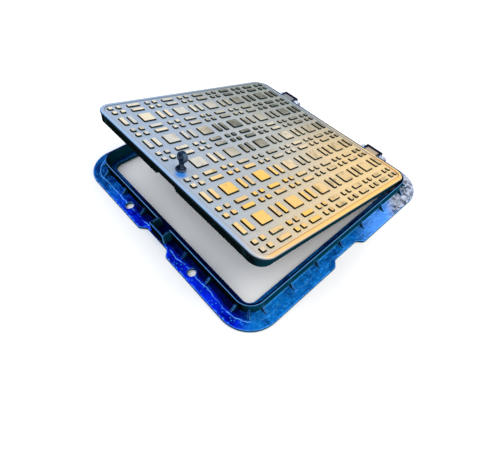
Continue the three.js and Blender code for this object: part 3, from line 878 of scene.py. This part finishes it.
def frame_piece():
    """The whole frame casting: its shells overlap, and are fused into one skin."""
    shell = Shell()
    outer = shell.tube([foot_loop(inset, z) for inset, z in (
        (1.6, 0.0), (0.4, 0.5), (0.0, 1.6), (0.6, FOOT_T - 1.2), (1.4, FOOT_T - 0.3), (2.4, FOOT_T))])
    rim_r = BORE_R + RIM_T
    rim_half = BORE_HALF + RIM_T
    pocket_out = rim_half + POCKET_REACH
    wall_out = shell.tube([wall_loop(rim_half - g, rim_r - g, POCKET_HALF - g, pocket_out - g, z)
                           for g, z in ((0.0, FOOT_T), (0.0, RIM_TOP - 0.8), (0.8, RIM_TOP))])
    pocket_in = pocket_out - RIM_T
    wall_in = shell.tube([wall_loop(h, BORE_R + h - BORE_HALF, POCKET_HALF - RIM_T + g, pocket_in + g, z)
                          for h, g, z in ((BORE_HALF + 0.8, 0.8, RIM_TOP), (BORE_HALF, 0.0, RIM_TOP - 0.8),
                                          (SEAT_HALF, 0.0, SEAT_TOP))])
    opening_r = BORE_R - (BORE_HALF - CLEAR_HALF)
    opening = shell.tube([side_loop(CLEAR_HALF + g, opening_r + g, z, lambda side: [])
                          for g, z in ((1.0, SEAT_TOP), (0.0, SEAT_TOP - 1.0), (0.0, 1.0), (1.0, 0.0))])
    holes = [shell.tube([circle(sx * ANCHOR_X, sy * ANCHOR_Y, ANCHOR_R + g, z)
                         for g, z in ((0.3, FOOT_T), (0.0, FOOT_T - 0.6), (0.0, 0.6), (0.6, 0.0))])
             for sx in (-1, 1) for sy in (-1, 1)]
    shell.fill(outer[-1], [wall_out[0], *(h[0] for h in holes)])
    shell.fill(wall_out[-1], [wall_in[0]])
    shell.fill(wall_in[-1], [opening[0]])
    shell.fill(outer[0], [opening[-1], *(h[-1] for h in holes)])
    corner = (rim_half - rim_r) * math.sqrt(2) + rim_r
    for side in range(4):
        turn = Matrix.Rotation(math.radians(90 * side - 90), 2)
        for place_on_side in range(-3, 4):
            along = place_on_side * RIB_PITCH
            if not any(abs(abs(along) - abs(x)) < POCKET_HALF for x in POCKETS.get(side, [])):
                gusset(shell, rim_half, along, turn)
        gusset(shell, corner, 0.0, Matrix.Rotation(math.radians(90 * side - 45), 2))
    mesh = recast(shell.mesh("frame_skin"), voxel=1.4, rounds=4, keep=0.45)
    foot_texture(mesh)
    mark_edges(mesh, 0.27)
    place("frame_casting", mesh, "frame", ["frame"], frame_iron())


# ---- hinge hardware ----
ALONG_X = Matrix.Rotation(math.radians(90), 4, "Y")
BOLT_R = 5.0
BOLT_PITCH = 1.5
HEX_FLATS = 17.0
HEX_SIDES = 48
HEAD_T = 6.4
HINGE_WASHER_R = 9.0
PLAY = 0.3


def hex_ring(flats, limit, z):
    """A ring of a hexagon whose corners are turned down to a limiting radius."""
    ring = []
    for k in range(HEX_SIDES):
        a = 2 * math.pi * k / HEX_SIDES
        away = (a + math.pi / 6) % (math.pi / 3) - math.pi / 6
        r = min(flats / 2 / math.cos(away), limit)
        ring.append((r * math.cos(a), r * math.sin(a), z))
    return ring


def round_ring(r, z, pitch=0.0, depth=0.0):
    """A circle, or one slice of a screw thread when it has a pitch."""
    ring = []
    for k in range(HEX_SIDES):
        turn = k / HEX_SIDES
        cut = depth * abs(((z / pitch - turn) % 1) * 2 - 1) if pitch else 0.0
        ring.append(((r - cut) * math.cos(2 * math.pi * turn), (r - cut) * math.sin(2 * math.pi * turn), z))
    return ring


def hex_side(flats, low, high):
    """Rings up the outside of a nut or head, chamfered at both ends."""
    corner = flats / math.sqrt(3)
    face = flats / 2 * 0.97
    steps = ((face, low), (corner - 0.3, low + 1.0), (corner, low + 1.5),
             (corner, high - 1.5), (corner - 0.3, high - 1.0), (face, high))
    return [hex_ring(flats, limit, z) for limit, z in steps]


def nut_mesh(name, flats, bore, low, high):
    shell = Shell()
    countersunk = ((0.6, high), (0.0, high - 0.6), (0.0, low + 0.6), (0.6, low))
    inside_rings = [round_ring(bore + g, z) for g, z in countersunk]
    # The bore is painted dark as shade; the chamfers carry painted highlights.
    shell.tube(hex_side(flats, low, high) + inside_rings, [0, 0, 0, 0, 0, 0, 0.2, 1, 1, 0.2],
               [0.3, 0.7, 0.2, 0.2, 0.7, 0.3, 0, 0, 0, 0], closed=True)
    return shell.mesh(name)


def washer_mesh(name, r, bore, low, high):
    shell = Shell()
    steps = ((r - 0.3, low), (r, low + 0.3), (r, high - 0.3), (r - 0.3, high),
             (bore + 0.3, high), (bore, high - 0.3), (bore, low + 0.3), (bore + 0.3, low))
    # Painted highlights on the outer edges.
    shell.tube([round_ring(*step) for step in steps], wear_and_glint=[0, 0.6, 0.6, 0.6, 0, 0, 0, 0], closed=True)
    return shell.mesh(name)


def bolt_mesh(name, head_high, head_low, end):
    """A hexagon bolt along its own Z, head first, threaded toward its end."""
    shell = Shell()
    head = hex_side(HEX_FLATS, head_high, head_low)
    thread_from = head_low + 0.45 * (end - head_low)
    rings = head + [round_ring(BOLT_R, head_low), round_ring(BOLT_R, thread_from)]
    turns = int((end - 1.2 - thread_from) / BOLT_PITCH * 6)
    for k in range(turns):
        rings.append(round_ring(BOLT_R, thread_from + (k + 1) * BOLT_PITCH / 6, BOLT_PITCH, 0.8))
    rings += [round_ring(BOLT_R - 0.9, end - 0.2), round_ring(BOLT_R - 1.6, end)]
    plain = [0.0] * 8
    # Painted shade in the thread's grooves, painted highlights on the head's chamfers and the end.
    made = shell.tube(rings, plain + [0.35 if k % 6 < 3 else 0.0 for k in range(turns)] + [0, 0],
                      [0.3, 0.7, 0.2, 0.2, 0.7, 0.3] + [0.0] * (turns + 2) + [0.4, 0.2])
    shell.cap(made[0])
    shell.cap(made[-1])
    return shell.mesh(name)


def span(node):
    """Where a CAD node starts and ends along X, in millimetres."""
    low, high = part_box(node)
    return low.x / MM, high.x / MM


def hinges():
    """Both hinge bolts, each with its washers, nut and lock nut where the CAD has them."""
    steel = hinge_steel()
    at = Matrix.Translation(HINGE)
    twist = Matrix.Rotation(math.radians(90), 4, "Z")
    spin = at @ ALONG_X @ twist
    for side in ("left", "right"):
        name = f"hinge_bolt_{side}"
        low, high = span(name)
        mesh = bolt_mesh(name, low, low + HEAD_T, high)
        place(name + "_threaded", mesh, "frame", [name], steel, spin)
        for part in ("nut", "lock_nut"):
            name = f"hinge_{part}_{side}"
            mesh = nut_mesh(name, HEX_FLATS, BOLT_R + PLAY, *span(name))
            place(name + "_chamfered", mesh, "frame", [name], steel, spin)
        for part in ("head_washer", "nut_washer"):
            name = f"hinge_{part}_{side}"
            mesh = washer_mesh(name, HINGE_WASHER_R, BOLT_R + PLAY, *span(name))
            place(name + "_round", mesh, "frame", [name], steel, spin)


# ---- the lifting eye ----
EYE_MIDDLE = 76.0
EYE_R, EYE_HOLE, EYE_T = 14.0, 7.0, 13.0
COLLAR_R, COLLAR_LOW, COLLAR_TOP = 13.0, 41.3, 46.8
NECK_R = 6.0
STEM_R = 6.0
STEM_WASHER = (24.2, 26.7)
STEM_END = 10.9
PIN_Z = 14.9
PIN_WIRE, PIN_FLAT = 0.68, 2.0
EYE_WASHER_R = 12.0


def eyebolt_mesh():
    """Ring, neck, collar and threaded shank, run together as one forging."""
    shell = Shell()
    section = []
    for k in range(28):
        a = 2 * math.pi * k / 28
        mid, half = (EYE_R + EYE_HOLE) / 2, (EYE_R - EYE_HOLE) / 2
        power = 0.55
        u = math.copysign(abs(math.cos(a)) ** power, math.cos(a)) * half
        w = math.copysign(abs(math.sin(a)) ** power, math.sin(a)) * EYE_T / 2
        section.append((mid + u, w))
    rings = []
    for k in range(56):
        a = 2 * math.pi * k / 56
        rings.append([(r * math.cos(a), w, EYE_MIDDLE + r * math.sin(a)) for r, w in section])
    shell.tube(rings, closed=True)
    profile = [(STEM_R - 1.0, STEM_END), (STEM_R, STEM_END + 1.0), (STEM_R, COLLAR_LOW),
               (COLLAR_R - 0.5, COLLAR_LOW), (COLLAR_R, COLLAR_LOW + 0.5), (COLLAR_R, COLLAR_TOP - 1.8),
               (COLLAR_R - 0.6, COLLAR_TOP - 0.7), (COLLAR_R - 1.8, COLLAR_TOP),
               (NECK_R + 2.4, COLLAR_TOP + 0.2), (NECK_R + 0.7, COLLAR_TOP + 1.0),
               (NECK_R, COLLAR_TOP + 2.6), (NECK_R + 0.2, EYE_MIDDLE - EYE_R - 2.0),
               (NECK_R + 1.4, EYE_MIDDLE - EYE_R + 2.0), (NECK_R, EYE_MIDDLE - EYE_HOLE - 2.5)]
    post = shell.tube([circle(0, 0, r, z, 40) for r, z in profile])
    shell.cap(post[0])
    shell.cap(post[-1])
    mesh = recast(shell.mesh("eyebolt_skin"), voxel=0.45, rounds=3, keep=0.5)
    mark_edges(mesh, 0.05)
    return mesh


def castle_nut(steel):
    """The CAD nut keeps its slots; its edges are broken."""
    nut = bpy.data.objects["eyebolt_castle_nut"]
    bevel = nut.modifiers.new("edges", "BEVEL")
    bevel.width = 0.4 * MM
    bevel.segments = 2
    bevel.limit_method = "ANGLE"
    nut.data.materials.clear()
    nut.data.materials.append(steel)


def split_pin_mesh():
    """One wire: a loop at one end, two legs through the nut, their tips bent apart."""
    reach, loop_r, tail, spread = 12.0, 3.0, 2.5, 5.0
    path = [Vector((reach + tail - 0.3, spread, 0)), Vector((reach + tail - 1.2, spread * 0.5, 0)),
            Vector((reach - 1.0, 0.75, 0)), Vector((reach - 4.0, 0.7, 0)), Vector((0, 0.7, 0)),
            Vector((-reach + 1.0, 0.8, 0))]
    bend = [Vector((-reach - loop_r - loop_r * math.cos(a), loop_r * math.sin(a), 0))
            for a in (math.radians(180 - 24 * k) for k in range(2, 8))]
    half = path + bend
    path = half + [Vector((p.x, -p.y, 0)) for p in reversed(half[:-1] if abs(half[-1].y) < 0.3 else half)]
    points = smooth_path(path, 5)
    shell = Shell()
    rings = []
    for k, p in enumerate(points):
        t = (points[min(k + 1, len(points) - 1)] - points[max(k - 1, 0)]).normalized()
        across = Vector((-t.y, t.x, 0))
        rings.append([tuple(p + PIN_WIRE * (across * math.cos(a) + Vector((0, 0, PIN_FLAT)) * math.sin(a)))
                      for a in (2 * math.pi * m / 12 for m in range(12))])
    made = shell.tube(rings)
    shell.cap(made[0])
    shell.cap(made[-1])
    return shell.mesh("split_pin_wire")


def smooth_path(points, steps):
    """A Catmull-Rom curve through the points."""
    out = []
    for k in range(len(points) - 1):
        p0, p1, p2, p3 = points[max(k - 1, 0)], points[k], points[k + 1], points[min(k + 2, len(points) - 1)]
        for m in range(steps):
            t = m / steps
            out.append(0.5 * (2 * p1 + (p2 - p0) * t + (2 * p0 - 5 * p1 + 4 * p2 - p3) * t * t
                              + (3 * p1 - p0 - 3 * p2 + p3) * t ** 3))
    return out + [points[-1]]


def eye_pieces():
    """The eye and what holds it under the cover, all on the eye's own axis."""
    steel = hinge_steel()
    up = TO_REST @ Matrix.Translation(Vector((EYE_X, EYE_Y, 0)) * MM)
    place("lifting_eye_forging", eyebolt_mesh(), "eye", ["lifting_eyebolt"], eye_steel(), up)
    washer = washer_mesh("eyebolt_washer_round", EYE_WASHER_R, STEM_R + PLAY, *STEM_WASHER)
    place("eyebolt_washer_round", washer, "cover", ["eyebolt_washer"], steel, up)
    castle_nut(steel)
    pin_at = up @ Matrix.Translation(Vector((0, 0, PIN_Z)) * MM)
    place("split_pin_wire", split_pin_mesh(), "eye", ["eyebolt_split_pin"], steel, pin_at)


# ---- stage, light and camera ----
FLOOR_HALF = 6.0
LENS_MM, SENSOR_MM = 26.153, 36.0
CAMERA_AT = Vector((541.96, -574.48, 810.12)) * MM
CAMERA_TURN, CAMERA_DOWN, CAMERA_ROLL = (math.radians(a) for a in (43.45, 53.6, 4.83))
WORLD_COLOUR, WORLD_STRENGTH = (0.9, 0.93, 1.0, 1), 0.75


def floor_piece():
    s = FLOOR_HALF
    mesh = bpy.data.meshes.new("floor")
    mesh.from_pydata([(-s, -s, 0), (s, -s, 0), (s, s, 0), (-s, s, 0)], [], [(0, 1, 2, 3)])
    obj = link("floor", mesh)
    mat = bpy.data.materials.new("floor")
    mat.use_nodes = True
    shader = mat.node_tree.nodes["Principled BSDF"]
    shader.inputs["Base Color"].default_value = (0.94, 0.94, 0.94, 1)
    shader.inputs["Roughness"].default_value = 0.9
    mesh.materials.append(mat)


def camera():
    """The photo's view: close, from the lifting side's right-hand corner, looking down, slightly rolled."""
    data = bpy.data.cameras.new("camera")
    data.sensor_width = SENSOR_MM
    data.lens = LENS_MM
    cam = link("camera", data)
    level = math.cos(CAMERA_DOWN)
    look = Vector((-math.sin(CAMERA_TURN) * level, math.cos(CAMERA_TURN) * level, -math.sin(CAMERA_DOWN)))
    cam.location = CAMERA_AT
    cam.rotation_mode = "QUATERNION"
    upright = look.to_track_quat("-Z", "Y")
    cam.rotation_quaternion = upright @ Matrix.Rotation(CAMERA_ROLL, 3, "Z").to_quaternion()
    bpy.context.scene.camera = cam


def area_light(name, at, size, watts, colour):
    """A round soft light, aimed at the middle of the floor."""
    data = bpy.data.lights.new(name, "AREA")
    data.shape = "DISK"
    data.size = size
    data.energy = watts
    data.color = colour
    lamp = link(name, data)
    lamp.location = at
    lamp.rotation_mode = "QUATERNION"
    lamp.rotation_quaternion = (-Vector(at)).to_track_quat("-Z", "Y")


def studio():
    """Warm key light, cool fill light and a pale world."""
    area_light("key", (1.2, 1.2, 3.0), 2.6, 68, (1.0, 0.96, 0.90))
    area_light("fill", (-2.0, -1.4, 2.6), 3.0, 60, (0.90, 0.95, 1.0))
    world = bpy.data.worlds.new("world")
    world.use_nodes = True
    background = world.node_tree.nodes["Background"]
    background.inputs["Color"].default_value = WORLD_COLOUR
    background.inputs["Strength"].default_value = WORLD_STRENGTH
    bpy.context.scene.world = world
    bpy.context.scene.view_settings.view_transform = "Standard"


cover_piece()
frame_piece()
hinges()
eye_pieces()
floor_piece()
camera()
studio()
